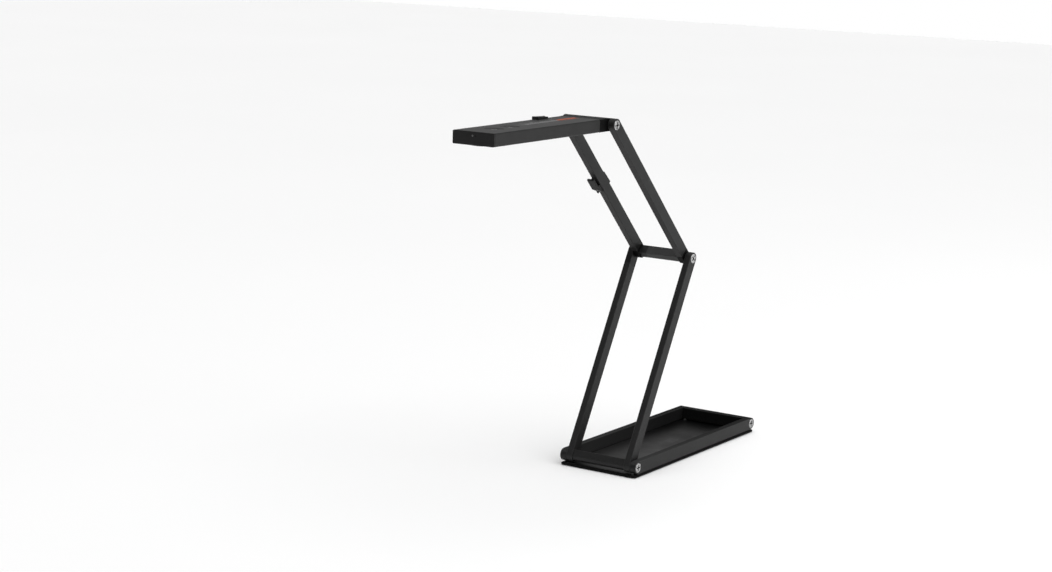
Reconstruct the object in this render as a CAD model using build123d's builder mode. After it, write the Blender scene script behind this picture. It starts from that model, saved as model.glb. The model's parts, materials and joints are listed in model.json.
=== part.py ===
"""Folding document camera: a base frame, a two-section arm and a camera head that nest flat in one another.

X runs along the base: the head reaches out towards -X and +X is the rear end. -Y is the near side, +Z up.
The origin is the centre of the base's underside. Lengths are in millimetres and angles in degrees.
"""

from build123d import *
import os
from math import cos, radians, sin

os.makedirs("parts", exist_ok=True)

# ---------------------------------------------------------------- driving dimensions
hinge_span = 240.0  # base: front pivot to the rear screws
lower_reach = 225.0  # base pivot to middle pivot
upper_reach = 208.5  # middle pivot to head pivot
head_reach = 198.0  # head pivot to the free end of the head
lower_lean = 61.3  # open position: the lower arm above the base
upper_rise = 44.8  # open position: the upper arm above level, towards the front

bar_height = 12.4
bar_width = 6.8
nest_gap = 0.5  # between one frame's bars and the next
head_width = 45.2
edge_break = 0.35  # chamfer on the long edges of the bars

pad_thickness = 0.8
plate_thickness = 1.6
tray_thickness = 0.6
ledge_height = 1.2
groove_depth = 1.6  # how far the tray stands in from the plate and the rails

# ---------------------------------------------------------------- worked-out sizes
bar_radius = bar_height / 2
head_half = head_width / 2
upper_inner = head_half + nest_gap
upper_outer = upper_inner + bar_width
lower_inner = upper_outer + nest_gap
lower_outer = lower_inner + bar_width
rail_inner = lower_outer + nest_gap
rail_outer = rail_inner + bar_width

plate_bottom = pad_thickness
tray_bottom = plate_bottom + plate_thickness
tray_floor_top = tray_bottom + tray_thickness
rail_bottom = tray_floor_top + ledge_height
pivot_height = rail_bottom + bar_radius

base_pivot = (-hinge_span / 2, pivot_height)
rear_pivot = (hinge_span / 2, pivot_height)
middle_pivot = (
    base_pivot[0] + lower_reach * cos(radians(lower_lean)),
    base_pivot[1] + lower_reach * sin(radians(lower_lean)),
)
head_pivot = (
    middle_pivot[0] - upper_reach * cos(radians(upper_rise)),
    middle_pivot[1] + upper_reach * sin(radians(upper_rise)),
)

NEAR, FAR = 1, -1
BOTH_SIDES = (NEAR, FAR)


# ---------------------------------------------------------------- helpers
def side_plane(pivot, angle):
    """The centre plane of the object at a pivot: x runs along the bar and z towards the near side."""
    x, z = pivot
    along = (cos(radians(angle)), 0, sin(radians(angle)))
    return Plane(origin=(x, 0, z), x_dir=along, z_dir=(0, -1, 0))


def outward(plane, distance, side):
    """A side plane moved out by a distance on one side, facing outwards there."""
    normal = plane.z_dir * side
    return Plane(origin=plane.origin + normal * distance, x_dir=plane.x_dir, z_dir=normal)


def write(builder, node):
    """Labels a finished piece and writes it as one STEP file."""
    builder.part.label = node
    export_step(builder.part, f"parts/{node}.step")


base_plane = side_plane(base_pivot, 0)
rear_plane = side_plane(rear_pivot, 180)
lower_plane = side_plane(base_pivot, lower_lean)
upper_plane = side_plane(middle_pivot, 180 - upper_rise)
head_plane = side_plane(head_pivot, 180)

# ---------------------------------------------------------------- pivot hardware sizes
screw_head_radius = 5.0
screw_head_height = 2.0
shank_radius = 2.5
press_play = 0.02  # round a piece that is pressed or screwed into another
shank_bore = shank_radius + 0.05  # running fit in the bar that turns
thread_bore = shank_radius + press_play  # in the piece that the screw is fixed to
screw_head_play = 0.1
head_bore = screw_head_radius + screw_head_play
thread_length = 8.0
one_bar_shank = bar_width + nest_gap + thread_length
two_bar_shank = one_bar_shank + bar_width
spring_washer_thickness = 0.6
spring_washer_radius = 4.6
washer_bore = shank_radius + 0.25
friction_washer_radius = 5.7
friction_washer_thickness = 0.4
axial_play = 0.05
screw_edge = 0.5  # rounding of a screw head's rim
pocket_depth = screw_head_height + spring_washer_thickness + axial_play
cross_slot_width = 1.2
cross_slot_length = 6.0
cross_slot_depth = 1.2


def pivot_screws(plane, outer_face, shank_length, node):
    """Two cross-head screws, one each side, flush with the outer faces of the bars that they go through."""
    with BuildPart() as screws:
        for side in BOTH_SIDES:
            face = outward(plane, outer_face, side)
            with BuildSketch(face):
                Circle(screw_head_radius)
            extrude(amount=-screw_head_height)
            with BuildSketch(face):
                Circle(shank_radius)
            extrude(amount=-shank_length)
        rims = screws.edges().filter_by(GeomType.CIRCLE)
        fillet([e for e in rims if abs(abs(e.center().Y) - outer_face) < axial_play], screw_edge)
        for side in BOTH_SIDES:
            with BuildSketch(outward(plane, outer_face, side)):
                Rectangle(cross_slot_length, cross_slot_width)
                Rectangle(cross_slot_width, cross_slot_length)
            extrude(amount=-cross_slot_depth, mode=Mode.SUBTRACT)
    write(screws, node)


def washers(plane, inner_face, radius, thickness, node):
    """Two flat washers, one each side, that stand out from the given distance."""
    with BuildPart() as rings:
        for side in BOTH_SIDES:
            with BuildSketch(outward(plane, inner_face, side)):
                Circle(radius)
                Circle(washer_bore, mode=Mode.SUBTRACT)
            extrude(amount=thickness)
    write(rings, node)


def hinge_hardware(plane, outer_face, shank_length, joint_name):
    """The screws, friction washers and spring washers of one pivot, whose outer bars end at outer_face."""
    pivot_screws(plane, outer_face, shank_length, f"{joint_name}_pivot_screws")
    under_head = outer_face - screw_head_height - spring_washer_thickness
    washers(
        plane,
        under_head,
        spring_washer_radius,
        spring_washer_thickness,
        f"{joint_name}_spring_washers",
    )
    washers(
        plane,
        outer_face - bar_width - nest_gap + axial_play,
        friction_washer_radius,
        friction_washer_thickness,
        f"{joint_name}_friction_washers",
    )


def side_bar(plane, span, inner_face, side, pockets, threads=(), start=None, tenon=None):
    """A flat bar with half-round ends about its pivots.

    pockets are the places with a screw-head pocket and a running bore, threads those with a plain bore.
    start cuts the bar off square short of its first pivot, where a tenon from a knuckle goes in.
    """
    face = outward(plane, inner_face, side)
    outer = outward(plane, inner_face + bar_width, side)
    with BuildPart() as bar:
        with BuildSketch(face):
            with Locations((span / 2, 0)):
                SlotCenterToCenter(span, bar_height)
            if start is not None:
                with Locations((start - bar_height, 0)):
                    Rectangle(bar_height * 2, bar_height * 2, mode=Mode.SUBTRACT)
        extrude(amount=bar_width)
        chamfer(bar.faces().filter_by(Axis.Y).edges(), edge_break)
        with BuildSketch(face):
            with Locations([(place, 0) for place in pockets]):
                Circle(shank_bore)
            if threads:
                with Locations([(place, 0) for place in threads]):
                    Circle(thread_bore)
        extrude(amount=bar_width, mode=Mode.SUBTRACT)
        if pockets:
            with BuildSketch(outer):
                with Locations([(place, 0) for place in pockets]):
                    Circle(head_bore)
            extrude(amount=-pocket_depth, mode=Mode.SUBTRACT)
        if tenon:
            length, height, width = tenon
            with BuildSketch(outward(plane, inner_face + (bar_width - width) / 2, side)):
                with Locations((start + length / 2, 0)):
                    Rectangle(length, height)
            extrude(amount=width, mode=Mode.SUBTRACT)
    return bar


def cross_bar(plane, half_length, radius, flat_reach, node):
    """A bar across the object: half round behind its pivot line, square in front, bored for the screws."""
    with BuildPart() as bar:
        with BuildSketch(plane.offset(-half_length)):
            Circle(radius)
            with Locations((flat_reach / 2, 0)):
                Rectangle(flat_reach, radius * 2)
        extrude(amount=half_length * 2)
        chamfer(bar.edges().filter_by(Axis.Y), edge_break)
        for side in BOTH_SIDES:
            with BuildSketch(outward(plane, half_length, side)):
                Circle(thread_bore)
            extrude(amount=-thread_length - nest_gap, mode=Mode.SUBTRACT)
    write(bar, node)


# ---------------------------------------------------------------- base
base_length = hinge_span + bar_height
base_width = rail_outer * 2
plate_corner = 4.0
pad_margin = 8.0
plate_screw_places = [(x, side * (rail_inner + rail_outer) / 2) for x in (-90, 0, 90) for side in BOTH_SIDES]
plate_screw_radius = 1.5
plate_screw_head = 2.8
plate_screw_sink = 1.3
plate_screw_depth = rail_bottom + 6.0

with BuildPart() as anti_slip_sheet:
    with BuildSketch():
        RectangleRounded(base_length - pad_margin * 2, base_width - pad_margin * 2, plate_corner)
    extrude(amount=pad_thickness)
write(anti_slip_sheet, "anti_slip_sheet")

with BuildPart() as base_plate:
    with BuildSketch(Plane.XY.offset(plate_bottom)):
        RectangleRounded(base_length, base_width, plate_corner)
    extrude(amount=plate_thickness)
    chamfer(base_plate.faces().filter_by(Axis.Z).edges(), edge_break)
    with Locations(Plane(origin=(0, 0, plate_bottom), x_dir=(1, 0, 0), z_dir=(0, 0, -1))):
        with Locations(plate_screw_places):
            CounterSinkHole(plate_screw_radius + press_play, plate_screw_head + screw_head_play)
write(base_plate, "base_plate")

ledge_width = 4.7
sill_height = 0.6
tray_length = base_length - groove_depth * 2
tray_width = base_width - groove_depth * 2
sill_centre = -tray_length / 2 + ledge_width / 2

with BuildPart() as tray_floor:
    with BuildSketch(Plane.XY.offset(tray_bottom)):
        RectangleRounded(tray_length, tray_width, plate_corner - groove_depth)
    extrude(amount=tray_thickness)
    with BuildSketch(Plane.XY.offset(tray_floor_top)):
        for side in BOTH_SIDES:
            with Locations((0, side * (tray_width - ledge_width) / 2)):
                Rectangle(tray_length - bar_height, ledge_width)
        with Locations((-sill_centre, 0)):
            Rectangle(ledge_width, tray_width - bar_height)
    extrude(amount=ledge_height)
    with BuildSketch(Plane.XY.offset(tray_floor_top)):
        with Locations((sill_centre, 0)):
            Rectangle(ledge_width, tray_width - bar_height)
    extrude(amount=sill_height)
    with BuildSketch(Plane.XY.offset(tray_bottom)):
        with Locations(plate_screw_places):
            Circle(plate_screw_radius + press_play)
    extrude(amount=tray_thickness + ledge_height, mode=Mode.SUBTRACT)
write(tray_floor, "tray_floor")

for side, side_name in ((NEAR, "near"), (FAR, "far")):
    rail_bar = side_bar(base_plane, hinge_span, rail_inner, side, pockets=[0, hinge_span])
    with BuildPart() as rail:
        add(rail_bar.part)
        with BuildSketch(Plane.XY.offset(rail_bottom)):
            with Locations([(x, y) for x, y in plate_screw_places if y * side < 0]):
                Circle(plate_screw_radius + press_play)
        extrude(amount=plate_screw_depth - rail_bottom, mode=Mode.SUBTRACT)
    write(rail, f"base_rail_{side_name}")

rear_bar_flat = 6.4
cross_bar(rear_plane, rail_inner, bar_radius, rear_bar_flat, "base_rear_bar")
pivot_screws(rear_plane, rail_outer, bar_width + thread_length, "base_rear_screws")
washers(
    rear_plane,
    rail_outer - screw_head_height - spring_washer_thickness,
    spring_washer_radius,
    spring_washer_thickness,
    "base_rear_washers",
)

with BuildPart() as base_plate_screws:
    for x, y in plate_screw_places:
        with BuildSketch(Plane.XY.offset(plate_bottom)):
            with Locations((x, y)):
                Circle(plate_screw_head)
        with BuildSketch(Plane.XY.offset(plate_bottom + plate_screw_sink)):
            with Locations((x, y)):
                Circle(plate_screw_radius)
        loft()
        with BuildSketch(Plane.XY.offset(plate_bottom + plate_screw_sink)):
            with Locations((x, y)):
                Circle(plate_screw_radius)
        extrude(amount=plate_screw_depth - plate_bottom - plate_screw_sink)
write(base_plate_screws, "base_plate_screws")

# ---------------------------------------------------------------- lower arm
cross_bar_radius = 5.0  # the cross bars stand in from the bars' faces
front_bar_flat = 5.5
middle_bar_flat = 6.0

for side, side_name in ((NEAR, "near"), (FAR, "far")):
    lower_bar = side_bar(lower_plane, lower_reach, lower_inner, side, pockets=[lower_reach], threads=[0])
    write(lower_bar, f"lower_bar_{side_name}")
cross_bar(lower_plane, lower_inner, cross_bar_radius, front_bar_flat, "lower_cross_bar")
hinge_hardware(base_plane, rail_outer, two_bar_shank, "base")

# ---------------------------------------------------------------- upper arm
knuckle_end = 9.0  # where the black knuckle gives way to the bar, along the arm
tenon_length = 9.0
tenon_height = 7.0
tenon_width = 3.2
tenon_play = 0.05

for side, side_name in ((NEAR, "near"), (FAR, "far")):
    upper_bar = side_bar(
        upper_plane,
        upper_reach,
        upper_inner,
        side,
        pockets=[upper_reach],
        start=knuckle_end,
        tenon=(tenon_length + tenon_play, tenon_height + tenon_play * 2, tenon_width + tenon_play * 2),
    )
    write(upper_bar, f"upper_bar_{side_name}")

with BuildPart() as middle_knuckles:
    for side in BOTH_SIDES:
        face = outward(upper_plane, upper_inner, side)
        with BuildSketch(face):
            Circle(bar_radius)
            with Locations((knuckle_end / 2, 0)):
                Rectangle(knuckle_end, bar_height)
        extrude(amount=bar_width)
    chamfer(middle_knuckles.faces().filter_by(Axis.Y).edges(), edge_break)
    for side in BOTH_SIDES:
        with BuildSketch(outward(upper_plane, upper_inner + (bar_width - tenon_width) / 2, side)):
            with Locations((knuckle_end + tenon_length / 2, 0)):
                Rectangle(tenon_length, tenon_height)
        extrude(amount=tenon_width)
        with BuildSketch(outward(upper_plane, upper_inner, side)):
            Circle(thread_bore)
        extrude(amount=bar_width, mode=Mode.SUBTRACT)
write(middle_knuckles, "middle_knuckles")

cross_bar(upper_plane, upper_inner, cross_bar_radius, middle_bar_flat, "upper_cross_bar")
hinge_hardware(upper_plane, lower_outer, two_bar_shank, "middle")

# ---------------------------------------------------------------- head joint
axle_radius = 4.0
running_play = 0.05
block_front = 19.6  # ahead of the head pivot
swivel_radius = 3.0
swivel_hollow = 1.8
swivel_socket = 9.0  # depth of the swivel shaft in the hinge block
shell_start = 20.0
rear_cap_length = 4.0
retainer_radius = 4.4
retainer_thickness = 1.2
friction_ring_thickness = 0.8
head_nose_plane = Plane(origin=(head_pivot[0], 0, head_pivot[1]), x_dir=(0, 1, 0), z_dir=(-1, 0, 0))

with BuildPart() as head_axle:
    with BuildSketch(head_plane.offset(-head_half)):
        Circle(axle_radius)
    extrude(amount=head_width)
    for side in BOTH_SIDES:
        with BuildSketch(outward(head_plane, head_half, side)):
            Circle(thread_bore)
        extrude(amount=-thread_length - 1, mode=Mode.SUBTRACT)
write(head_axle, "head_axle")

hinge_hardware(head_plane, upper_outer, one_bar_shank, "head")

with BuildPart() as head_hinge_block:
    with BuildSketch(head_plane.offset(-head_half)):
        Circle(bar_radius)
        with Locations((block_front / 2, 0)):
            Rectangle(block_front, bar_height)
    extrude(amount=head_width)
    chamfer(head_hinge_block.faces().filter_by(Axis.Y).edges(), edge_break)
    with BuildSketch(head_plane.offset(-head_half)):
        Circle(axle_radius + running_play)
    extrude(amount=head_width, mode=Mode.SUBTRACT)
    with BuildSketch(head_nose_plane.offset(block_front)):
        Circle(swivel_radius + press_play)
    extrude(amount=-swivel_socket, mode=Mode.SUBTRACT)
write(head_hinge_block, "head_hinge_block")

ring_start = shell_start + rear_cap_length + running_play
retainer_start = ring_start + friction_ring_thickness + running_play
shaft_tip = 1.0  # past the retainer
shaft_end = retainer_start + retainer_thickness + shaft_tip

with BuildPart() as swivel_shaft:
    with BuildSketch(head_nose_plane.offset(block_front - swivel_socket + running_play)):
        Circle(swivel_radius)
        Circle(swivel_hollow, mode=Mode.SUBTRACT)
    extrude(amount=shaft_end - block_front + swivel_socket)
write(swivel_shaft, "swivel_shaft")

with BuildPart() as swivel_friction_ring:
    with BuildSketch(head_nose_plane.offset(ring_start)):
        Circle(retainer_radius)
        Circle(swivel_radius + press_play, mode=Mode.SUBTRACT)
    extrude(amount=friction_ring_thickness)
write(swivel_friction_ring, "swivel_friction_ring")

with BuildPart() as swivel_retainer:
    with BuildSketch(head_nose_plane.offset(retainer_start)):
        RegularPolygon(retainer_radius, 6)
        Circle(swivel_radius + press_play, mode=Mode.SUBTRACT)
    extrude(amount=retainer_thickness)
write(swivel_retainer, "swivel_retainer")

# ---------------------------------------------------------------- head casing
shell_wall = 1.6
shell_corner = 1.2
front_cap_length = 3.0
shell_end = head_reach - front_cap_length
shell_length = shell_end - shell_start
cover_play = 0.05
lens_place = 180.0  # ahead of the head pivot
power_place = 165.0
light_place = 139.2
button_radius = 8.8
button_play = 0.2
bezel_radius = 13.5
bezel_neck = 12.0
bezel_proud = 0.9
usb_place = 95.0
usb_width = 9.0
usb_height = 3.2
usb_slot_play = 0.15
cover_screw_places = [(place, side * 17.0) for place in (32.0, 105.0) for side in BOTH_SIDES]
cover_screw_radius = 1.0
cover_screw_head = 1.9
head_top = head_pivot[1] + bar_radius
head_bottom = head_pivot[1] - bar_radius


def across(distance_ahead, sideways=0.0):
    """A point on a level plane, from its distance ahead of the head pivot."""
    return (head_pivot[0] - distance_ahead, sideways)


def level(height):
    """A level plane at a height above the middle of the head."""
    return Plane.XY.offset(head_pivot[1] + height)


def head_section(inset=0.0):
    """The rounded cross-section of the head, drawn in a nose plane."""
    RectangleRounded(head_width - inset * 2, bar_height - inset * 2, shell_corner)


with BuildPart() as head_top_shell:
    with BuildSketch(head_nose_plane.offset(shell_start)):
        head_section()
    extrude(amount=shell_length)
    with BuildSketch(head_nose_plane.offset(shell_start)):
        with Locations((0, shell_wall)):
            Rectangle(head_width - shell_wall * 2, bar_height)
    extrude(amount=shell_length, mode=Mode.SUBTRACT)
    with BuildSketch(Plane.XY.offset(head_pivot[1])):
        with Locations(across(power_place), across(light_place)):
            Circle(button_radius + button_play)
    extrude(amount=bar_height, mode=Mode.SUBTRACT)
    with BuildSketch(outward(head_plane, head_half, FAR)):
        with Locations((usb_place, 0)):
            SlotOverall(usb_width + usb_slot_play * 2, usb_height + usb_slot_play * 2)
    extrude(amount=-shell_wall, mode=Mode.SUBTRACT)
write(head_top_shell, "head_top_shell")

with BuildPart() as head_bottom_cover:
    with BuildSketch(Plane.XY.offset(head_bottom)):
        with Locations(across(shell_start + shell_length / 2)):
            Rectangle(shell_length, head_width - (shell_wall + cover_play) * 2)
        with Locations(across(lens_place)):
            Circle(bezel_neck + button_play, mode=Mode.SUBTRACT)
    extrude(amount=shell_wall)
    with Locations(Plane(origin=(0, 0, head_bottom), x_dir=(1, 0, 0), z_dir=(0, 0, -1))):
        with Locations([(across(place)[0], side) for place, side in cover_screw_places]):
            CounterSinkHole(cover_screw_radius + cover_play, cover_screw_head + cover_play)
write(head_bottom_cover, "head_bottom_cover")

cap_plug = 1.6  # how far a cap's inner lip goes into the shell
cap_edge = 0.8
led_hole = 0.9
microphone_hole = 0.6
dot_height = 2.5  # of the status light and the microphone, above the middle of the head
status_light_side = 0.6
microphone_side = -2.8


def cap_lip():
    """The lip that goes inside the shell, clear of its top and of the cover, drawn in a nose plane."""
    lip_height = bar_height - (shell_wall + cover_play) * 2
    Rectangle(head_width - (shell_wall + cover_play) * 2, lip_height)
    Rectangle(head_width - shell_wall * 4, lip_height - shell_wall, mode=Mode.SUBTRACT)


with BuildPart() as head_front_cap:
    with BuildSketch(head_nose_plane.offset(shell_end)):
        head_section()
    extrude(amount=front_cap_length)
    fillet(head_front_cap.faces().sort_by(Axis.X)[0].edges(), cap_edge)
    with BuildSketch(head_nose_plane.offset(shell_end)):
        cap_lip()
    extrude(amount=-cap_plug)
    with BuildSketch(head_nose_plane.offset(shell_end)):
        with Locations((status_light_side, -dot_height)):
            Circle(led_hole + cover_play)
        with Locations((microphone_side, -dot_height)):
            Circle(microphone_hole)
    extrude(amount=front_cap_length, mode=Mode.SUBTRACT)
write(head_front_cap, "head_front_cap")

with BuildPart() as status_light_pipe:
    with BuildSketch(head_nose_plane.offset(shell_end)):
        with Locations((status_light_side, -dot_height)):
            Circle(led_hole)
    extrude(amount=front_cap_length)
write(status_light_pipe, "status_light_pipe")

microphone_radius = 1.2
microphone_length = 1.2
with BuildPart() as microphone:
    with BuildSketch(head_nose_plane.offset(shell_end)):
        with Locations((microphone_side, -dot_height)):
            Circle(microphone_radius)
    extrude(amount=-microphone_length)
write(microphone, "microphone")

with BuildPart() as head_rear_cap:
    with BuildSketch(head_nose_plane.offset(shell_start)):
        Rectangle(head_width - (shell_wall + cover_play) * 2, bar_height - (shell_wall + cover_play) * 2)
        Circle(swivel_radius + running_play, mode=Mode.SUBTRACT)
    extrude(amount=rear_cap_length)
write(head_rear_cap, "head_rear_cap")

post_radius = 2.2
post_height = bar_height - shell_wall * 2
with BuildPart() as cover_screws:
    for place, side in cover_screw_places:
        with BuildSketch(Plane.XY.offset(head_bottom)):
            with Locations(across(place, side)):
                Circle(cover_screw_head)
        with BuildSketch(Plane.XY.offset(head_bottom + cover_screw_head - cover_screw_radius)):
            with Locations(across(place, side)):
                Circle(cover_screw_radius)
        loft()
        with BuildSketch(Plane.XY.offset(head_bottom)):
            with Locations(across(place, side)):
                Circle(cover_screw_radius)
        extrude(amount=post_height)
write(cover_screws, "cover_screws")

with BuildPart() as screw_posts:
    with BuildSketch(Plane.XY.offset(head_bottom + shell_wall)):
        with Locations([across(place, side) for place, side in cover_screw_places]):
            Circle(post_radius)
            Circle(cover_screw_radius + cover_play, mode=Mode.SUBTRACT)
    extrude(amount=post_height)
write(screw_posts, "screw_posts")

# ---------------------------------------------------------------- lens and ring light
barrel_radius = 5.0
barrel_bottom = -6.6
barrel_top = 0.4
glass_radius = 4.0
glass_bottom = -6.3
glass_thickness = 1.4
diffuser_inner = 7.6
diffuser_outer = 11.0
diffuser_thickness = 0.8
neck_top = -3.4
light_board_top = -4.4
light_board_thickness = 0.8
led_count = 8
led_size = 1.6
led_height = 0.6
sensor_size = 7.0
sensor_thickness = 0.7
sensor_clearance = 1.0  # between the barrel and the sensor
camera_board_size = 26.0
board_thickness = 1.0
bezel_bottom = -bar_radius - bezel_proud
bezel_edge = 0.5
barrel_edge = 0.3


def lens_ring(outer, inner):
    """A ring about the lens axis, drawn in a level plane."""
    with Locations(across(lens_place)):
        Circle(outer)
        Circle(inner, mode=Mode.SUBTRACT)


with BuildPart() as lens_bezel:
    with BuildSketch(level(bezel_bottom)):
        with Locations(across(lens_place)):
            Circle(bezel_radius)
    extrude(amount=bezel_proud)
    fillet(lens_bezel.faces().sort_by(Axis.Z)[0].edges(), bezel_edge)
    with BuildSketch(level(-bar_radius)):
        with Locations(across(lens_place)):
            Circle(bezel_neck)
    extrude(amount=neck_top + bar_radius)
    with BuildSketch(level(bezel_bottom)):
        with Locations(across(lens_place)):
            Circle(barrel_radius + cover_play)
    extrude(amount=bar_height, mode=Mode.SUBTRACT)
    with BuildSketch(level(bezel_bottom)):
        lens_ring(diffuser_outer + cover_play, diffuser_inner - cover_play)
    extrude(amount=light_board_top - bezel_bottom, mode=Mode.SUBTRACT)
write(lens_bezel, "lens_bezel")

with BuildPart() as light_diffuser:
    with BuildSketch(level(bezel_bottom + button_play)):
        lens_ring(diffuser_outer, diffuser_inner)
    extrude(amount=diffuser_thickness)
write(light_diffuser, "light_diffuser")

with BuildPart() as light_board:
    with BuildSketch(level(light_board_top)):
        lens_ring(diffuser_outer, diffuser_inner)
    extrude(amount=-light_board_thickness)
    with BuildSketch(level(light_board_top - light_board_thickness)):
        with Locations(across(lens_place)):
            with PolarLocations((diffuser_inner + diffuser_outer) / 2, led_count):
                Rectangle(led_size, led_size)
    extrude(amount=-led_height)
write(light_board, "light_board")

with BuildPart() as lens_barrel:
    with BuildSketch(level(barrel_bottom)):
        lens_ring(barrel_radius, glass_radius + cover_play)
    extrude(amount=barrel_top - barrel_bottom)
    chamfer(lens_barrel.edges().group_by(Axis.Z)[0].sort_by(SortBy.LENGTH)[0], barrel_edge)
write(lens_barrel, "lens_barrel")

glass_crown = 0.6  # how far the front of the lens bulges
with BuildPart() as lens_glass:
    with BuildSketch(level(glass_bottom)):
        with Locations(across(lens_place)):
            Circle(glass_radius)
    extrude(amount=glass_thickness)
    chamfer(lens_glass.faces().sort_by(Axis.Z)[0].edges(), length=glass_crown / 2, length2=glass_crown)
write(lens_glass, "lens_glass")

with BuildPart() as image_sensor:
    with BuildSketch(level(barrel_top + sensor_clearance)):
        with Locations(across(lens_place)):
            Rectangle(sensor_size, sensor_size)
    extrude(amount=sensor_thickness)
write(image_sensor, "image_sensor")

camera_board_bottom = barrel_top + sensor_clearance + sensor_thickness
lens_mount_wall = 1.0
lens_mount_overlap = 2.0  # how far the mount comes down over the barrel
with BuildPart() as camera_board:
    with BuildSketch(level(camera_board_bottom)):
        with Locations(across(lens_place)):
            Rectangle(camera_board_size, camera_board_size)
    extrude(amount=board_thickness)
    with BuildSketch(level(barrel_top - lens_mount_overlap)):
        lens_ring(barrel_radius + lens_mount_wall, barrel_radius + cover_play)
    extrude(amount=camera_board_bottom - barrel_top + lens_mount_overlap)
write(camera_board, "camera_board")

# ---------------------------------------------------------------- buttons
shell_underside = bar_radius - shell_wall
button_travel = 0.6
flange_radius = 9.8
flange_thickness = 0.8
button_sink = 0.1  # below the top of the shell
button_top = bar_radius - button_sink
button_edge = 0.3
dish_radius = 60.0
dish_depth = 0.5
stem_radius = 2.0
stem_bottom = 2.2
switch_size = 6.0
switch_height = 1.3
plunger_radius = 1.6


def press_button(place, node):
    """A dished round cap with a flange under the shell and a stem down to its switch."""
    with BuildPart() as button:
        with BuildSketch(level(shell_underside - cover_play)):
            with Locations(across(place)):
                Circle(button_radius)
        extrude(amount=button_top - shell_underside + cover_play)
        fillet(button.faces().sort_by(Axis.Z)[-1].edges(), button_edge)
        with BuildSketch(level(shell_underside - cover_play)):
            with Locations(across(place)):
                Circle(flange_radius)
        extrude(amount=-flange_thickness)
        with BuildSketch(level(shell_underside - cover_play)):
            with Locations(across(place)):
                Circle(stem_radius)
        extrude(amount=stem_bottom - shell_underside + cover_play)
        dish_centre = head_pivot[1] + button_top - dish_depth + dish_radius
        with Locations((*across(place), dish_centre)):
            Sphere(dish_radius, mode=Mode.SUBTRACT)
    write(button, node)


press_button(power_place, "power_button")
press_button(light_place, "light_button")

# ---------------------------------------------------------------- boards and socket
main_board_top = -0.4
main_board_start = 40.0
main_board_end = 172.0
main_board_width = 34.0
lens_mount_clear = 10.0
chip_list = [(75.0, 0.0, 14.0), (110.0, 6.0, 9.0), (122.0, -8.0, 6.0)]  # ahead, sideways, size
chip_height = 1.1
usb_depth = 7.4
usb_wall = 0.3
usb_back = 1.0  # thickness of the closed end
tongue_gap = 1.5  # from the mouth of the socket to its tongue
usb_notch_play = 0.5
tongue_height = 0.7

with BuildPart() as main_board:
    with BuildSketch(level(main_board_top)):
        board_length = main_board_end - main_board_start
        with Locations(across((main_board_start + main_board_end) / 2)):
            Rectangle(board_length, main_board_width)
        with Locations(across(lens_place)):
            Circle(barrel_radius + lens_mount_clear, mode=Mode.SUBTRACT)
        with Locations([across(place, side) for place, side in cover_screw_places]):
            Circle(post_radius + button_play, mode=Mode.SUBTRACT)
        with Locations(across(usb_place, head_half - usb_depth - usb_back)):
            usb_notch = (usb_width + usb_notch_play, usb_depth * 2)
            Rectangle(*usb_notch, align=(Align.CENTER, Align.MIN), mode=Mode.SUBTRACT)
    extrude(amount=-board_thickness)
    for place, side, size in chip_list:
        with BuildSketch(level(main_board_top)):
            with Locations(across(place, side)):
                Rectangle(size, size)
        extrude(amount=chip_height)
write(main_board, "main_board")

with BuildPart() as tact_switches:
    for place in (power_place, light_place):
        with BuildSketch(level(main_board_top)):
            with Locations(across(place)):
                Rectangle(switch_size, switch_size)
        extrude(amount=switch_height)
        with BuildSketch(level(main_board_top + switch_height)):
            with Locations(across(place)):
                Circle(plunger_radius)
        extrude(amount=stem_bottom - button_travel - main_board_top - switch_height - cover_play)
write(tact_switches, "tact_switches")

with BuildPart() as usb_socket:
    with BuildSketch(outward(head_plane, head_half - usb_wall, FAR)):
        with Locations((usb_place, 0)):
            SlotOverall(usb_width, usb_height)
            SlotOverall(usb_width - usb_wall * 2, usb_height - usb_wall * 2, mode=Mode.SUBTRACT)
    extrude(amount=-usb_depth)
    with BuildSketch(outward(head_plane, head_half - usb_depth, FAR)):
        with Locations((usb_place, 0)):
            SlotOverall(usb_width, usb_height)
    extrude(amount=-usb_back)
    with BuildSketch(outward(head_plane, head_half - usb_depth, FAR)):
        with Locations((usb_place, 0)):
            Rectangle(usb_width - usb_height, tongue_height)
    extrude(amount=usb_depth - tongue_gap)
write(usb_socket, "usb_socket")

ribbon_width = 7.0
ribbon_side = 5.0  # its edge, towards the near side and clear of the switches
ribbon_thickness = 0.2
ribbon_start = lens_place - 8.0
ribbon_end = lens_place - 21.0
ribbon_run = 5.0  # the level stretch at each end
ribbon_bend = 0.8
ribbon_high = camera_board_bottom - ribbon_thickness / 2
ribbon_low = main_board_top + ribbon_thickness / 2
with BuildPart() as ribbon_cable:
    with BuildSketch(head_plane.offset(ribbon_side)):
        with BuildLine():
            FilletPolyline(
                (ribbon_start, -ribbon_high),
                (ribbon_start - ribbon_run, -ribbon_high),
                (ribbon_end + ribbon_run, -ribbon_low),
                (ribbon_end, -ribbon_low),
                radius=ribbon_bend,
            )
        trace(line_width=ribbon_thickness)
    extrude(amount=ribbon_width)
write(ribbon_cable, "ribbon_cable")

# ---------------------------------------------------------------- cable clips
clip_play = 0.2  # between a clip and the faces it holds
clip_wall = 1.4
clip_length = 25.4
clip_web_length = 20.0
clip_reach = 6.0  # of the jaws over the bar
lug_length = 16.5
lug_high, lug_low = 2.4, 1.6
hook_gap = 3.1  # between the bar and the prong, for the cable
hook_start, hook_heel = 1.4, 3.4  # where the hook leaves the bar, and its lower corner
hook_elbow = 11.0  # from here on the prong runs level with the bar
hook_floor = 13.0  # of the slot that the cable lies in
prong_thickness = 2.2
clip_edge = 0.4


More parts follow.
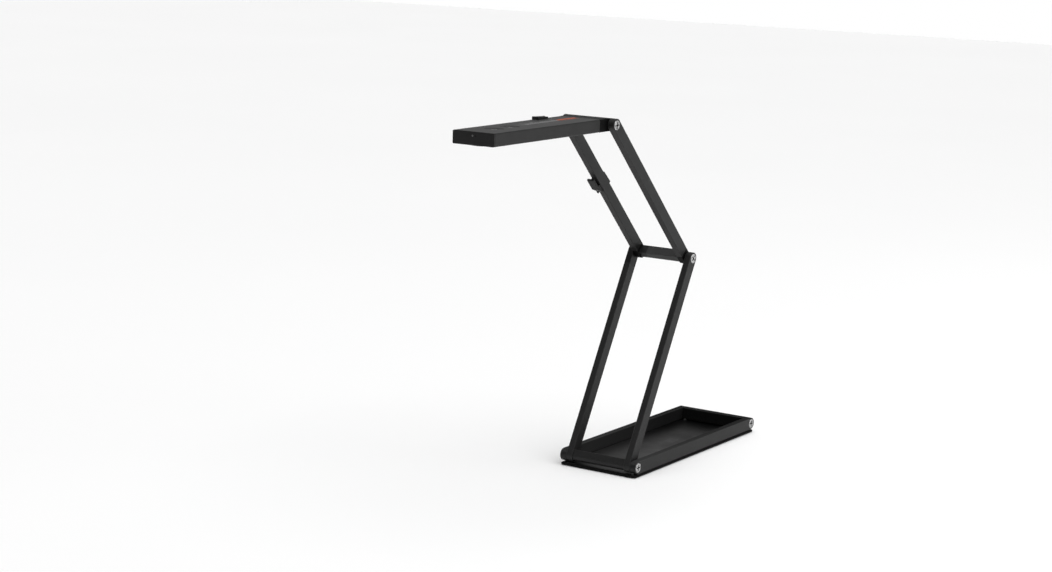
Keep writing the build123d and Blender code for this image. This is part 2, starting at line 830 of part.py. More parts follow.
def cable_clip(face, grip, lug_side, node):
    """A push-on clip: a web on the outer face, a wedge-shaped lug over one edge and a J-shaped cable hook.

    face is the outward plane of the gripped face with x from the clip's closed end to its open end.
    grip is half the height that it grips, and lug_side says which way along y the lug is.
    """
    inner = grip + clip_play
    lug_top = lug_side * (inner + lug_high)
    prong_inner = -lug_side * (inner + hook_gap)
    prong_outer = -lug_side * (inner + hook_gap + prong_thickness)
    with BuildPart() as clip:
        with BuildSketch(face.offset(clip_play)):
            with Locations((clip_web_length / 2, lug_side * (lug_low - clip_wall) / 2)):
                Rectangle(clip_web_length, inner * 2 + clip_wall + lug_low)
        extrude(amount=clip_wall)
        with BuildSketch(face.offset(clip_play + clip_wall)):
            with BuildLine():
                Polyline(
                    (0, lug_side * inner),
                    (0, lug_top),
                    (lug_length, lug_side * (inner + lug_low)),
                    (lug_length, lug_side * inner),
                    close=True,
                )
            make_face()
        extrude(amount=-(clip_reach + clip_play + clip_wall))
        with BuildSketch(face.offset(clip_play + clip_wall)):
            with BuildLine():
                Polyline(
                    (hook_start, -lug_side * inner),
                    (hook_heel, -lug_side * (inner + clip_wall)),
                    (hook_elbow, prong_outer),
                    (clip_length, prong_outer),
                    (clip_length, prong_inner),
                    (hook_floor + 1, prong_inner),
                    (hook_floor, -lug_side * inner),
                    close=True,
                )
            make_face()
        extrude(amount=-(clip_reach + clip_play + clip_wall))
        fillet(clip.edges().filter_by(Axis.Y).filter_by(lambda e: e.length > clip_reach), clip_edge)
    write(clip, node)


arm_clip_place = 105.0  # along the upper arm from the middle pivot to the clip's closed end
head_clip_place = 66.6  # ahead of the head pivot
arm_clip_face = outward(upper_plane, upper_outer, FAR)
arm_clip_face = Plane(
    origin=arm_clip_face.origin + arm_clip_face.x_dir * arm_clip_place,
    x_dir=arm_clip_face.x_dir,
    z_dir=arm_clip_face.z_dir,
)
head_clip_face = Plane(
    origin=(across(head_clip_place)[0], head_half, head_pivot[1]),
    x_dir=(1, 0, 0),
    z_dir=(0, 1, 0),
)
cable_clip(arm_clip_face, bar_radius, 1, "arm_cable_clip")
cable_clip(head_clip_face, bar_radius, -1, "head_cable_clip")
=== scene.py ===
"""The looks of a folding document camera: finishes, printed marks, floor, light and camera.

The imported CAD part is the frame. Nothing of it moves here: each node gets a procedural finish, and
the inks and symbols are thin pieces laid on the CAD faces. Lengths are in metres.
"""

import json
from math import atan2, cos, pi, radians, sin

import bmesh
import bpy
from mathutils import Matrix, Vector
from mathutils.bvhtree import BVHTree

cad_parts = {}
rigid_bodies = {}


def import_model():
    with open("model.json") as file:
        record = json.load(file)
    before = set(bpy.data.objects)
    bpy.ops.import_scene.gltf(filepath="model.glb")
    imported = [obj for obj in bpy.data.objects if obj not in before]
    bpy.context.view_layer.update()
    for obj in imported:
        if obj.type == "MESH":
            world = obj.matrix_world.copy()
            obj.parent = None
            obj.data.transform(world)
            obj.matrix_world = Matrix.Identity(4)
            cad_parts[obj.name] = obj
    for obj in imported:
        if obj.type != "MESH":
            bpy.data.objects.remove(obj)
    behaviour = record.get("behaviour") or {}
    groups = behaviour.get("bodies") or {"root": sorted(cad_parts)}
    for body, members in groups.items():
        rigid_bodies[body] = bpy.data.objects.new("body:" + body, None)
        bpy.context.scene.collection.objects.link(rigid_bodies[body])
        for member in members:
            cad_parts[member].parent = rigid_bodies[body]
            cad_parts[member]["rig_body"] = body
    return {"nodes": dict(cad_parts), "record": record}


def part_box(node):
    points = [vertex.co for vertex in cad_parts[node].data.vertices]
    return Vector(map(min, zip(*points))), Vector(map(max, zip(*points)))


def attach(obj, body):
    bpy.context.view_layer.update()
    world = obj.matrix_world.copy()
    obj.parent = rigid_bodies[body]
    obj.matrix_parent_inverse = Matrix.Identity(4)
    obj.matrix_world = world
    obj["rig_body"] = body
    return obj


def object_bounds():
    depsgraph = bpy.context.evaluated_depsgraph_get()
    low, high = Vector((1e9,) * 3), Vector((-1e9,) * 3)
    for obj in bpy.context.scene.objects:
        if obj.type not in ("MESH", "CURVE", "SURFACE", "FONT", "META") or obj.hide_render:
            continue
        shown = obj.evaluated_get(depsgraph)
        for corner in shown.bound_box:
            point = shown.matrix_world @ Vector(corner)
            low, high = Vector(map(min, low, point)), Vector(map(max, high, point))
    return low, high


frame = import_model()
cad_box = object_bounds()

mm = 0.001
nodes = frame["nodes"]
slot_of = {part["node"]: part["material_slot"] for part in frame["record"]["subparts"]}


# ---------------------------------------------------------------- places taken from the frame
def middle(node):
    """The centre of a CAD node's box."""
    low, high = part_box(node)
    return (low + high) / 2


def bar_angle(node):
    """How far a bar leans from level, from the box of its long shape. Its ends are half round."""
    low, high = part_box(node)
    size = high - low
    rail_low, rail_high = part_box("base_rail_near")
    thickness = rail_high.z - rail_low.z
    return atan2(size.z - thickness, size.x - thickness)


head_pivot = middle("head_axle")
tray_low, tray_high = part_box("tray_floor")


# ---------------------------------------------------------------- finishes
def tone(red, green, blue):
    """Linear light from 0-255 screen values."""
    def curve(value):
        share = value / 255
        return share / 12.92 if share <= 0.04045 else ((share + 0.055) / 1.055) ** 2.4
    return (curve(red), curve(green), curve(blue), 1.0)


def grey(value):
    """A neutral tone."""
    return tone(value, value, value)


# A Mix node has sockets of the same name for numbers, vectors and colours. These are the colours'.
mix_first, mix_second, mix_result = 6, 7, 2


class Finish:
    """A material in the making: one Principled shader and the patterns that drive it."""

    def __init__(self, name, roughness=0.5, metallic=0.0, specular=0.5):
        self.material = bpy.data.materials.new(name)
        self.material.use_nodes = True
        self.tree = self.material.node_tree
        self.shader = self.tree.nodes["Principled BSDF"]
        self.set("Roughness", roughness)
        self.set("Metallic", metallic)
        self.set("Specular IOR Level", specular)
        self.place = self.tree.nodes.new("ShaderNodeTexCoord").outputs["Object"]
        self.relief = None

    def set(self, socket, value):
        """Gives one of the shader's sockets a plain value."""
        self.shader.inputs[socket].default_value = value

    def feed(self, value, socket):
        """Links an output to a socket, or sets a plain value on it."""
        if isinstance(value, bpy.types.NodeSocket):
            self.tree.links.new(value, socket)
        else:
            socket.default_value = value

    def vectors(self, operation, first, second=(0.0, 0.0, 0.0), result="Vector"):
        """Vector arithmetic. The result is a vector, or a number if it is the Value output."""
        node = self.tree.nodes.new("ShaderNodeVectorMath")
        node.operation = operation
        self.feed(first, node.inputs[0])
        self.feed(second, node.inputs[1])
        return node.outputs[result]

    def numbers(self, operation, first, second):
        """Arithmetic with two numbers."""
        node = self.tree.nodes.new("ShaderNodeMath")
        node.operation = operation
        self.feed(first, node.inputs[0])
        self.feed(second, node.inputs[1])
        return node.outputs["Value"]

    def turned(self, angle, stretch):
        """The object's coordinates turned about Y, then stretched, so that a pattern can run along a bar."""
        turn = self.tree.nodes.new("ShaderNodeMapping")
        turn.inputs["Rotation"].default_value = (0.0, angle, 0.0)
        self.feed(self.place, turn.inputs["Vector"])
        return self.vectors("MULTIPLY", turn.outputs["Vector"], stretch)

    def noise(self, size, where=None, detail=3.0):
        """Cloudy noise with blotches of about this size."""
        node = self.tree.nodes.new("ShaderNodeTexNoise")
        self.feed(where or self.place, node.inputs["Vector"])
        node.inputs["Scale"].default_value = 1 / size
        node.inputs["Detail"].default_value = detail
        return node.outputs["Fac"]

    def cells(self, size, feature="F1"):
        """Distance to the nearest of scattered points about this far apart."""
        node = self.tree.nodes.new("ShaderNodeTexVoronoi")
        node.feature = feature
        self.feed(self.place, node.inputs["Vector"])
        node.inputs["Scale"].default_value = 1 / size
        return node.outputs["Distance"]

    def spread(self, value, low, high, first=0.0, last=1.0):
        """Maps low..high to first..last and clamps it."""
        node = self.tree.nodes.new("ShaderNodeMapRange")
        self.feed(value, node.inputs["Value"])
        self.feed(low, node.inputs["From Min"])
        self.feed(high, node.inputs["From Max"])
        self.feed(first, node.inputs["To Min"])
        self.feed(last, node.inputs["To Max"])
        return node.outputs["Result"]

    def clouds(self, size):
        """Soft blotches of about this size, from 0 to 1."""
        return self.spread(self.noise(size), 0.35, 0.65)

    def mix(self, share, first, second):
        """A colour from first to second."""
        node = self.tree.nodes.new("ShaderNodeMix")
        node.data_type = "RGBA"
        self.feed(share, node.inputs["Factor"])
        self.feed(first, node.inputs[mix_first])
        self.feed(second, node.inputs[mix_second])
        return node.outputs[mix_result]

    def edges(self, width):
        """1 along the edges of the piece, 0 on its faces, broken up in patches. The pale edges it gives are
        part wear, part painted highlight on the rounded edges.
        """
        rounded = self.tree.nodes.new("ShaderNodeBevel")
        rounded.inputs["Radius"].default_value = width
        flat = self.tree.nodes.new("ShaderNodeNewGeometry")
        likeness = self.vectors("DOT_PRODUCT", rounded.outputs["Normal"], flat.outputs["Normal"], "Value")
        edge = self.spread(likeness, 0.99, 0.86)
        patchy = self.spread(self.noise(4 * mm), 0.35, 0.7, 0.25, 1.0)
        return self.numbers("MULTIPLY", edge, patchy)

    def recess_shade(self, reach):
        """1 in slots and corners no wider than about this, 0 on open faces: where painted shade goes."""
        node = self.tree.nodes.new("ShaderNodeAmbientOcclusion")
        node.only_local = True
        node.inputs["Distance"].default_value = reach
        return self.spread(node.outputs["AO"], 0.85, 0.45)

    def facing(self, direction):
        """1 on faces that look this way, 0 on faces that lie along it or look away."""
        geometry = self.tree.nodes.new("ShaderNodeNewGeometry")
        likeness = self.vectors("DOT_PRODUCT", geometry.outputs["True Normal"], direction, "Value")
        return self.spread(likeness, 0.5, 0.8)

    def along(self, axis, start, end):
        """0 up to one place along X, Y or Z, 1 from another on."""
        split = self.tree.nodes.new("ShaderNodeSeparateXYZ")
        self.feed(self.place, split.inputs["Vector"])
        return self.spread(split.outputs[axis], start, end)

    def along_base(self):
        """0 near the front end of the base, 1 towards its rear end."""
        length = tray_high.x - tray_low.x
        return self.along("X", tray_low.x + 0.1 * length, tray_low.x + 0.8 * length)

    def near_axis(self, centre, radius):
        """1 within this distance of the line along Y through a point, 0 beyond it."""
        offset = self.vectors("SUBTRACT", self.place, centre)
        flattened = self.vectors("MULTIPLY", offset, (1.0, 0.0, 1.0))
        distance = self.vectors("LENGTH", flattened, result="Value")
        return self.spread(distance, radius, radius * 0.93)

    def colour(self, value):
        """Sets the base colour."""
        self.feed(value, self.shader.inputs["Base Color"])

    def rough(self, pattern, smooth, coarse):
        """Lets a pattern vary the roughness between two values."""
        self.feed(self.spread(pattern, 0.3, 0.7, smooth, coarse), self.shader.inputs["Roughness"])

    def bump(self, height, depth, strength=1.0):
        """Adds relief this deep, on top of any that is there."""
        node = self.tree.nodes.new("ShaderNodeBump")
        node.inputs["Distance"].default_value = depth
        node.inputs["Strength"].default_value = strength
        self.feed(height, node.inputs["Height"])
        if self.relief is not None:
            self.feed(self.relief, node.inputs["Normal"])
        self.relief = node.outputs["Normal"]
        self.feed(self.relief, self.shader.inputs["Normal"])


# Painted light on the base: a pale painted sheen near its front, black painted shade towards its rear.
base_sheen, base_shade = grey(44), grey(4)
# Black round the middle pivot on the far bars and at the far end of the cross bar.
dark_patch_radius = 17 * mm  # round the middle pivot
dark_end_length = 8.5 * mm  # at the far end of the cross bar


upwards, far, near, frontwards = (0, 0, 1), (0, 1, 0), (0, -1, 0), (-1, 0, 0)


def darkened_bar(finish):
    """The part of a far bar round the middle pivot, except on its outer face."""
    round_pivot = finish.near_axis(middle("middle_pivot_screws"), dark_patch_radius)
    return finish.numbers("SUBTRACT", round_pivot, finish.facing(far))


def darkened_end(finish):
    """The far end of the cross bar at the middle joint."""
    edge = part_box("upper_cross_bar")[1].y - dark_end_length
    return finish.along("Y", edge, edge + 0.5 * mm)


def anodised(name, angle, dark, light, shaded_towards=(), darkened=None):
    """Black anodised aluminium: a fine blasted grain, faint drawing lines along the bar, and pale edges that
    are part wear, part painted highlight.

    Faces that look along the given directions are matt and carry painted light: a painted sheen near the
    front of the base that turns to black painted shade towards its rear.
    The part that the darkening mask picks out is black.
    """
    finish = Finish(name, metallic=0.1, specular=0.3)
    cloud = finish.noise(18 * mm)
    grain = finish.noise(0.22 * mm, detail=2.0)
    lines = finish.noise(0.5 * mm, finish.turned(angle, (0.02, 1.0, 1.0)), 2.0)
    body = finish.mix(finish.spread(cloud, 0.35, 0.65), dark, light)
    face = finish.mix(finish.spread(grain, 0.4, 0.75, 0.0, 0.4), body, grey(48))
    matt = 0.0
    # Faces looking along these directions get painted shade, with a painted sheen near the front of the
    # base.
    for direction in shaded_towards:
        matt = finish.numbers("MAXIMUM", matt, finish.facing(direction))
    if shaded_towards:
        shade_tone = finish.mix(finish.along_base(), base_sheen, base_shade)
        face = finish.mix(matt, face, shade_tone)
    if darkened:
        # Black over the part the darkening mask picks out.
        face = finish.mix(finish.spread(darkened(finish), 0.0, 1.0), face, grey(5))
    finish.colour(finish.mix(finish.edges(0.5 * mm), face, grey(70)))
    blasted = finish.spread(finish.numbers("MULTIPLY", cloud, lines), 0.3, 0.7, 0.5, 0.36)
    finish.feed(finish.numbers("MAXIMUM", blasted, matt), finish.shader.inputs["Roughness"])
    finish.bump(grain, 0.012 * mm, 0.7)
    finish.bump(lines, 0.008 * mm, 0.6)
    return finish.material


def powder_coat(name):
    """Black powder coat with its orange-peel surface and pale edges, part rubbed, part painted highlight."""
    finish = Finish(name, specular=0.1)
    peel = finish.noise(0.9 * mm, detail=1.5)
    body = finish.mix(finish.clouds(25 * mm), grey(7), grey(12))
    finish.colour(finish.mix(finish.edges(0.6 * mm), body, grey(34)))
    finish.rough(peel, 0.6, 0.75)
    finish.bump(peel, 0.05 * mm, 0.6)
    return finish.material


def moulded(name, dark, light, texture=0.25 * mm, depth=0.02 * mm, specular=0.25, accent_tone=grey(50)):
    """Moulded plastic: a spark-eroded skin, slight colour drift and paler edges, part wear, part painted
    highlight.
    """
    finish = Finish(name, specular=specular)
    skin = finish.cells(texture)
    body = finish.mix(finish.clouds(12 * mm), dark, light)
    finish.colour(finish.mix(finish.edges(0.4 * mm), body, accent_tone))
    finish.rough(finish.noise(3 * mm), 0.45, 0.6)
    finish.bump(skin, depth, 0.6)
    return finish.material


def tray_finish(name):
    """Black tray: a painted sheen near the front that fades to black painted shade towards the rear, with
    hairline scratches both ways and patches of dust.
    """
    finish = Finish(name, specular=0.15)
    cloud = finish.noise(30 * mm)
    along = finish.noise(0.35 * mm, finish.turned(0.0, (0.015, 1.0, 1.0)), 2.0)
    across = finish.noise(0.35 * mm, finish.turned(0.0, (1.0, 0.02, 1.0)), 2.0)
    scratches = finish.spread(finish.numbers("MAXIMUM", along, across), 0.66, 0.74)
    dust = finish.spread(finish.cells(1.6 * mm), 0.09, 0.05, 0.0, 0.35)
    patches = finish.spread(cloud, 0.45, 0.65)
    # Painted shade just behind the front lip, then the painted sheen that fades to painted shade.
    behind_lip = finish.along("X", tray_low.x + 4 * mm, tray_low.x + 8 * mm)
    sheen_to_shade = finish.mix(finish.along_base(), base_sheen, base_shade)
    body = finish.mix(behind_lip, base_shade, sheen_to_shade)
    dusty = finish.mix(finish.numbers("MULTIPLY", dust, patches), body, grey(70))
    finish.colour(finish.mix(finish.edges(0.4 * mm), dusty, grey(52)))
    finish.rough(finish.numbers("MAXIMUM", cloud, scratches), 0.34, 0.5)
    finish.bump(scratches, 0.004 * mm, 0.4)
    return finish.material


def rubber(name):
    """Matte rubber with a pattern of fine pips and dust in it."""
    finish = Finish(name, roughness=0.85, specular=0.2)
    pips = finish.cells(1.1 * mm)
    body = finish.mix(finish.clouds(15 * mm), grey(22), grey(34))
    finish.colour(finish.mix(finish.spread(pips, 0.1, 0.5), grey(48), body))
    finish.bump(pips, 0.12 * mm, 0.8)
    return finish.material


def metal(name, dark, light, smooth, coarse):
    """Bare or plated metal: fine turning marks, faint clouding and painted shade in slots and hollows."""
    finish = Finish(name, metallic=1.0)
    marks = finish.noise(0.4 * mm, finish.turned(0.0, (1.0, 0.06, 1.0)), 2.0)
    cloud = finish.noise(1.4 * mm)
    clean = finish.mix(finish.spread(cloud, 0.3, 0.7), dark, light)
    # Painted shade in slots and hollows.
    finish.colour(finish.mix(finish.recess_shade(1.2 * mm), clean, grey(24)))
    finish.rough(finish.numbers("MULTIPLY", cloud, marks), smooth, coarse)
    finish.bump(marks, 0.006 * mm, 0.4)
    return finish.material


def circuit_board(name):
    """Green solder mask with tracks under it and tinned pads."""
    finish = Finish(name, roughness=0.35)
    tracks = finish.cells(2.4 * mm, feature="DISTANCE_TO_EDGE")
    pads = finish.cells(1.8 * mm)
    mask = finish.mix(finish.clouds(6 * mm), tone(8, 52, 24), tone(12, 66, 30))
    tracked = finish.mix(finish.spread(tracks, 0.05, 0.08), tone(34, 96, 50), mask)
    finish.colour(finish.mix(finish.spread(pads, 0.12, 0.08), tracked, tone(186, 172, 120)))
    finish.bump(finish.spread(tracks, 0.05, 0.08, 1.0, 0.0), 0.03 * mm, 0.5)
    return finish.material


def chip_finish(name):
    """Black moulded package with a satin top."""
    finish = Finish(name, roughness=0.4)
    skin = finish.noise(0.2 * mm)
    finish.colour(finish.mix(finish.spread(skin, 0.35, 0.65), grey(20), grey(34)))
    finish.bump(skin, 0.01 * mm, 0.6)
    return finish.material


def coated_glass(name):
    """Lens glass: dark in depth, with the bluish bloom of its coating."""
    finish = Finish(name, roughness=0.03, specular=0.6)
    bloom = finish.noise(5 * mm, detail=1.0)
    finish.colour(finish.mix(finish.spread(bloom, 0.4, 0.6), tone(10, 14, 40), tone(26, 16, 46)))
    finish.set("Coat Weight", 1.0)
    finish.set("Coat Roughness", 0.02)
    finish.set("Coat Tint", tone(190, 200, 255))
    finish.rough(finish.noise(0.6 * mm), 0.02, 0.06)
    return finish.material


def frosted(name):
    """Milky plastic that spreads the light of the lamps behind it."""
    finish = Finish(name, roughness=0.5, specular=0.3)
    frost = finish.noise(0.3 * mm)
    finish.colour(finish.mix(finish.clouds(3 * mm), grey(205), grey(232)))
    finish.set("Subsurface Weight", 0.3)
    finish.set("Subsurface Scale", 1 * mm)
    finish.bump(frost, 0.02 * mm, 0.6)
    return finish.material


def film(name):
    """Amber film with conductors that show through as darker lines."""
    finish = Finish(name, roughness=0.3)
    lines = finish.noise(0.5 * mm, finish.turned(0.0, (0.01, 1.0, 0.01)), 0.0)
    finish.colour(finish.mix(finish.spread(lines, 0.45, 0.55), tone(150, 84, 20), tone(196, 122, 40)))
    finish.bump(lines, 0.02 * mm, 0.5)
    return finish.material


def ink(name, colour, accent_tone):
    """Screen-printed ink: slightly raised, matt and thin in places."""
    finish = Finish(name, roughness=0.55, specular=0.3)
    thin = finish.noise(0.5 * mm, detail=4.0)
    finish.colour(finish.mix(finish.spread(thin, 0.6, 0.8), colour, accent_tone))
    finish.bump(thin, 0.01 * mm, 0.5)
    return finish.material


bar_dark, bar_light = grey(22), grey(28)
finishes = {
    "base_steel": powder_coat("powder_coat"),
    "rubber_sheet": rubber("rubber"),
    "tray_plastic": tray_finish("tray"),
    "hinge_plastic": moulded("filled_nylon", grey(4), grey(8), specular=0.08, accent_tone=grey(20)),
    "head_shell": anodised("blasted_shell", 0.0, grey(22), grey(28)),
    "cap_plastic": moulded("cap_plastic", grey(14), grey(20)),
    "button_plastic": moulded("button_plastic", grey(16), grey(22), texture=0.4 * mm, depth=0.008 * mm),
    "clip_plastic": moulded("clip_plastic", grey(20), grey(27), texture=0.35 * mm),
    # The chrome's blotches from dark to bright are painted reflections.
    "screw_chrome": metal("chrome", grey(70), grey(215), 0.12, 0.22),
    "zinc_steel": metal("zinc", tone(170, 172, 178), tone(200, 198, 190), 0.3, 0.5),
    "friction_polymer": moulded("filled_acetal", grey(20), grey(28)),
    "post_plastic": moulded("post_plastic", grey(26), grey(36)),
    "lens_glass": coated_glass("coated_glass"),
    "lens_metal": metal("blackened_brass", grey(20), grey(32), 0.4, 0.6),
    "clear_plastic": frosted("frosted"),
    "circuit_board": circuit_board("circuit_board"),
    "chip": chip_finish("chip"),
    "socket_steel": metal("plated_steel", grey(176), grey(204), 0.2, 0.35),
    "ribbon_film": film("ribbon_film"),
}


def dress(node, material):
    """Puts a finish in every material slot of a CAD node."""
    slots = nodes[node].data.materials
    for place in range(len(slots)):
        slots[place] = material


upper_lean = pi - bar_angle("upper_bar_near")
lower_lean = bar_angle("lower_bar_near")
# The rails are the bars' anodised aluminium painted darker: painted shade.
rail_shaded_dark, rail_shaded_light = grey(8), grey(13)
single_finishes = {
    "base_rail_near": anodised("anodised_near_rail", 0.0, rail_shaded_dark, rail_shaded_light, (upwards, far)),
    "base_rail_far": anodised("anodised_far_rail", 0.0, rail_shaded_dark, rail_shaded_light, (upwards, near)),
    "base_rear_bar": anodised("anodised_rear_bar", pi / 2, rail_shaded_dark, rail_shaded_light, (upwards, frontwards)),
    "lower_bar_far": anodised("anodised_lower_far", lower_lean, bar_dark, bar_light, darkened=darkened_bar),
    "upper_bar_far": anodised("anodised_upper_far", upper_lean, bar_dark, bar_light, darkened=darkened_bar),
    # The cross bar is the bars' anodised aluminium painted lighter: a painted highlight. Its far end is
    # black.
    "upper_cross_bar": anodised("anodised_cross_bar", pi / 2, grey(34), grey(42), darkened=darkened_end),
    "microphone": metal("microphone_mesh", grey(110), grey(150), 0.4, 0.6),
    "status_light_pipe": moulded("light_pipe", grey(80), grey(96), accent_tone=grey(100)),
}
arm_finishes = {
    "lower_arm": anodised("anodised_lower", lower_lean, bar_dark, bar_light),
    "upper_arm": anodised("anodised_upper", upper_lean, bar_dark, bar_light),
}
for node, slot in slot_of.items():
    if node in single_finishes:
        dress(node, single_finishes[node])
    elif slot == "anodised_bars":
        dress(node, arm_finishes[nodes[node]["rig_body"]])
    else:
        dress(node, finishes[slot])

# ---------------------------------------------------------------- printed marks
ink_height = 0.03 * mm
ink_sink = 0.01 * mm
line_step = 0.6 * mm  # the longest piece of a stroke, so that it follows a curved face
pale_ink = ink("pale_ink", grey(134), grey(96))
orange_ink = ink("orange_ink", tone(196, 80, 26), tone(140, 56, 20))
symbol_ink = ink("symbol_ink", grey(150), grey(110))
faint_ink = ink("faint_ink", grey(74), grey(46))


def surface_of(node):
    """A function that gives the height of a CAD node's top face at x, y."""
    mesh = nodes[node].data
    corners = [vertex.co.copy() for vertex in mesh.vertices]
    faces = [tuple(face.vertices) for face in mesh.polygons]
    tree = BVHTree.FromPolygons(corners, faces)

    def height(x, y):
        start = Vector((x, y, cad_box[1].z + 1.0))
        return tree.ray_cast(start, Vector((0, 0, -1)))[0].z
    return height


def divided(points):
    """The same path with no step longer than line_step."""
    path = [Vector(points[0])]
    for point in points[1:]:
        start, end = path[-1], Vector(point)
        steps = max(1, round((end - start).length / line_step))
        path += [start.lerp(end, i / steps) for i in range(1, steps + 1)]
    return path


def arc(centre, radius, first, last, steps=32):
    """Points along an arc, with angles in degrees anticlockwise from +X."""
    angles = [radians(first + (last - first) * i / steps) for i in range(steps + 1)]
    return [(centre[0] + radius * cos(a), centre[1] + radius * sin(a)) for a in angles]


def add_stroke(mesh, points, width, height):
    """One closed ribbon of ink along a path, lying on the face whose height is given."""
    path = divided(points)
    rings = []
    for i, point in enumerate(path):
        ahead = path[min(i + 1, len(path) - 1)] - path[max(i - 1, 0)]
        sideways = Vector((-ahead.y, ahead.x)).normalized() * width / 2
        ring = []
        for edge, lift in ((-1, -ink_sink), (-1, ink_height), (1, ink_height), (1, -ink_sink)):
            corner = point + sideways * edge
            ring.append(mesh.verts.new((corner.x, corner.y, height(corner.x, corner.y) + lift)))
        rings.append(ring)
    for first, second in zip(rings, rings[1:]):
        for i in range(4):
            mesh.faces.new((first[i], first[(i + 1) % 4], second[(i + 1) % 4], second[i]))
    mesh.faces.new(rings[0])
    mesh.faces.new(reversed(rings[-1]))


def print_on(node, name, strokes, material):
    """Lays strokes of ink on a CAD node's top face. A stroke is a path of points and a width."""
    mesh = bmesh.new()
    height = surface_of(node)
    for points, width in strokes:
        add_stroke(mesh, points, width, height)
    bmesh.ops.recalc_face_normals(mesh, faces=mesh.faces)
    data = bpy.data.meshes.new(name)
    mesh.to_mesh(data)
    mesh.free()
    piece = bpy.data.objects.new(name, data)
    bpy.context.scene.collection.objects.link(piece)
    piece.data.materials.append(material)
    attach(piece, nodes[node]["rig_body"])


symbol_radius = 2.3 * mm
symbol_line = 0.55 * mm


def power_symbol(centre):
    """A ring open at the top with a bar in the gap."""
    x, y = centre
    ring = arc(centre, symbol_radius, 125, 415)
    bar = [(x, y + 0.6 * mm), (x, y + symbol_radius + 0.7 * mm)]
    return [(ring, symbol_line), (bar, symbol_line)]


def lamp_symbol(centre):
    """A small ring with eight rays."""
    x, y = centre
    strokes = [(arc(centre, 1.3 * mm, 0, 360), symbol_line)]
    for i in range(8):
        angle = i * pi / 4
        ray = [(x + r * cos(angle), y + r * sin(angle)) for r in (2.1 * mm, 3.1 * mm)]
        strokes.append((ray, symbol_line * 0.8))
    return strokes


for button, name, symbol in (
    ("power_button", "power_symbol", power_symbol),
    ("light_button", "light_symbol", lamp_symbol),
):
    print_on(button, name, symbol(middle(button).xy), symbol_ink)

ruler_start, ruler_length = 111.9 * mm, 53.4 * mm  # its front end, ahead of the head pivot
ruler_height = 9.0 * mm
ruler_side = 4.3 * mm  # from the middle of the head to the middle of the ruler
ruler_ticks = 16
ruler_margin = 0.6 * mm  # from its ends to the first and last tick
short_tick = 0.62  # of a long one
tick_width = 1.3 * mm
stripe_start, stripe_length = 54.4 * mm, 31.8 * mm
stripe_height = 4.6 * mm
stripe_side = 3.4 * mm
stripe_count = 9
stripe_width = 2.1 * mm
dash_drop = 2 * mm  # below the stripes
line_width = 0.9 * mm


def ruler_mark():
    """A generic scale: a base line with long and short ticks."""
    left = head_pivot.x - ruler_start
    base = ruler_side - ruler_height / 2
    strokes = [([(left, base), (left + ruler_length, base)], line_width)]
    for i in range(ruler_ticks):
        x = left + ruler_margin + (ruler_length - 2 * ruler_margin) * i / (ruler_ticks - 1)
        share = 1.0 if i % 5 == 0 else short_tick
        strokes.append(([(x, base), (x, base + ruler_height * share)], tick_width))
    return strokes


def stripe_mark():
    """Generic slanted stripes over a row of short dashes."""
    left = head_pivot.x - stripe_start
    base = stripe_side - stripe_height / 2
    pitch = stripe_length / stripe_count
    strokes = []
    for i in range(stripe_count):
        x = left + pitch * i
        slant = [(x, base), (x + pitch * 0.4, base + stripe_height)]
        dash = [(x, base - dash_drop), (x + pitch * 0.6, base - dash_drop)]
        strokes += [(slant, stripe_width), (dash, line_width)]
    return strokes


print_on("head_top_shell", "scale_mark", ruler_mark(), pale_ink)
print_on("head_top_shell", "stripe_mark", stripe_mark(), orange_ink)

page_shift = 24 * mm  # towards the rear, from the middle of the tray
page_half = Vector((7.0 * mm, 4.5 * mm))
page_margin = 2 * mm
page_line = 0.6 * mm


def page_mark():
    """A generic outline of a page with three lines on it."""
    tray_centre = middle("tray_floor")
    x, y = tray_centre.x + page_shift, tray_centre.y
    left, right, low, high = x - page_half.x, x + page_half.x, y - page_half.y, y + page_half.y
    strokes = [([(left, low), (right, low), (right, high), (left, high), (left, low)], page_line)]
    for row in (-1, 0, 1):
        line = y + row * page_half.y / 2
        strokes.append(([(left + page_margin, line), (right - page_margin, line)], page_line))
    return strokes


print_on("tray_floor", "page_mark", page_mark(), faint_ink)

# ---------------------------------------------------------------- floor, light and camera
floor_size = 14.0
bpy.ops.mesh.primitive_plane_add(size=floor_size, location=(0, 0, cad_box[0].z))
floor = bpy.context.object
floor.name = "floor"
paper = Finish("pale_floor", roughness=0.9, specular=0.1)
paper.colour(paper.mix(paper.noise(0.8), grey(250), grey(253)))
floor.data.materials.append(paper.material)

scene = bpy.context.scene
scene.view_settings.view_transform = "Standard"
object_centre = (cad_box[0] + cad_box[1]) / 2
view_azimuth, view_elevation = -56.638, 10.247  # degrees
white = (1.0, 1.0, 1.0, 1.0)
room_light = 0.22  # from all round
backdrop_light = 0.55  # from the lit paper behind the object
backdrop_elevation = 15  # degrees
backdrop_edge, backdrop_core = 0.6, 0.9  # cosines of the angles from its middle where it fades


def towards(azimuth, elevation):
    """The direction from the object to a place round it. Azimuth 0 is the near side, as for the camera."""
    a, e = radians(azimuth), radians(elevation)
    return Vector((sin(a) * cos(e), -cos(a) * cos(e), sin(e)))


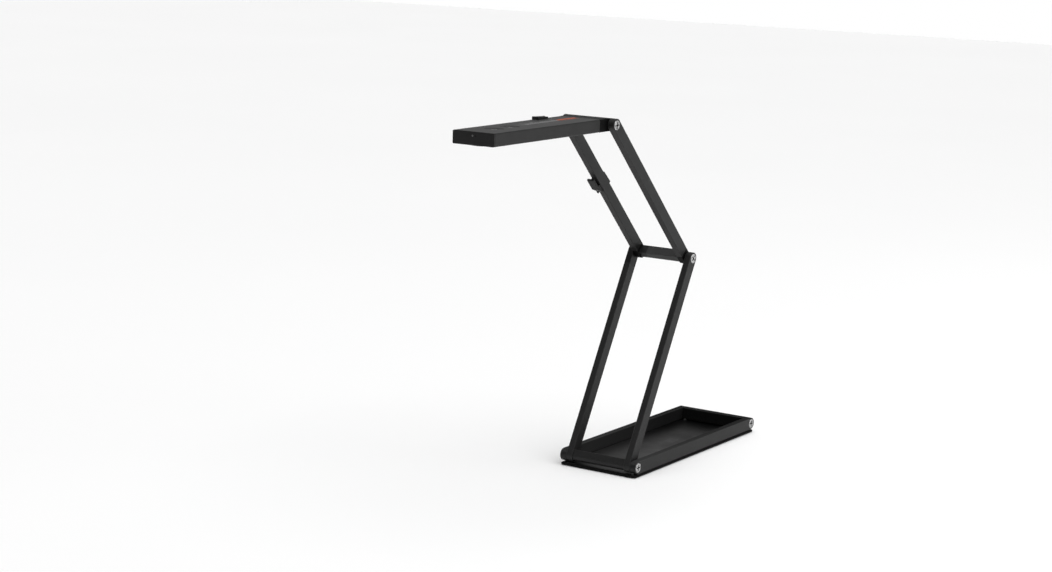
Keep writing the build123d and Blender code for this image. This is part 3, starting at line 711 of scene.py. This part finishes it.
def studio():
    """A dim room with a bright backdrop behind the object. The camera sees plain white all round."""
    world = bpy.data.worlds.new("studio")
    world.use_nodes = True
    tree = world.node_tree
    backdrop = tree.nodes["Background"]
    backdrop.inputs["Color"].default_value = white
    room = tree.nodes.new("ShaderNodeBackground")
    room.inputs["Color"].default_value = white
    direction = tree.nodes.new("ShaderNodeTexCoord")
    compare = tree.nodes.new("ShaderNodeVectorMath")
    compare.operation = "DOT_PRODUCT"
    tree.links.new(direction.outputs["Generated"], compare.inputs[0])
    compare.inputs[1].default_value = towards(view_azimuth + 180, backdrop_elevation)
    glow = tree.nodes.new("ShaderNodeMapRange")
    tree.links.new(compare.outputs["Value"], glow.inputs["Value"])
    glow.inputs["From Min"].default_value = backdrop_edge
    glow.inputs["From Max"].default_value = backdrop_core
    glow.inputs["To Min"].default_value = room_light
    glow.inputs["To Max"].default_value = backdrop_light
    tree.links.new(glow.outputs["Result"], room.inputs["Strength"])
    ray = tree.nodes.new("ShaderNodeLightPath")
    choose = tree.nodes.new("ShaderNodeMixShader")  # its two shader sockets share a name
    tree.links.new(ray.outputs["Is Camera Ray"], choose.inputs["Fac"])
    tree.links.new(room.outputs["Background"], choose.inputs[1])
    tree.links.new(backdrop.outputs["Background"], choose.inputs[2])
    tree.links.new(choose.outputs["Shader"], tree.nodes["World Output"].inputs["Surface"])
    scene.world = world


def add_lamp(name, kind, azimuth, elevation, distance, energy):
    """A lamp that faces the object. Angles are in degrees."""
    lamp = bpy.data.lights.new(name, kind)
    lamp.energy = energy
    holder = bpy.data.objects.new(name, lamp)
    back = towards(azimuth, elevation)
    holder.location = object_centre + back * distance
    holder.rotation_mode = "QUATERNION"
    holder.rotation_quaternion = (-back).to_track_quat("-Z", "Y")
    scene.collection.objects.link(holder)
    return lamp


studio()
overhead = add_lamp("overhead", "SUN", azimuth=-30, elevation=75, distance=3.0, energy=2.3)
overhead.angle = radians(70)
key = add_lamp("key", "AREA", azimuth=25, elevation=20, distance=2.0, energy=10)
key.size = 1.4

view_roll = radians(1.627)
view_distance = 2.1617
view_right, view_up = -0.0822, 0.0045  # from the object's centre to the middle of the picture
lens_length, film_width = 74.35, 36.0  # millimetres, as Blender's cameras have them


def photo_camera():
    """The camera at the photograph's angle, aimed beside the object's centre as the picture frames it."""
    right = towards(view_azimuth + 90, 0)
    back = towards(view_azimuth, view_elevation)
    up = back.cross(right)
    place = object_centre + back * view_distance + right * view_right + up * view_up
    rolled_right = right * cos(view_roll) + up * sin(view_roll)
    rolled_up = up * cos(view_roll) - right * sin(view_roll)
    data = bpy.data.cameras.new("photo_camera")
    data.lens = lens_length
    data.sensor_width = film_width
    holder = bpy.data.objects.new("photo_camera", data)
    turn = Matrix((rolled_right, rolled_up, back)).transposed()
    holder.matrix_world = Matrix.Translation(place) @ turn.to_4x4()
    scene.collection.objects.link(holder)
    scene.camera = holder


photo_camera()
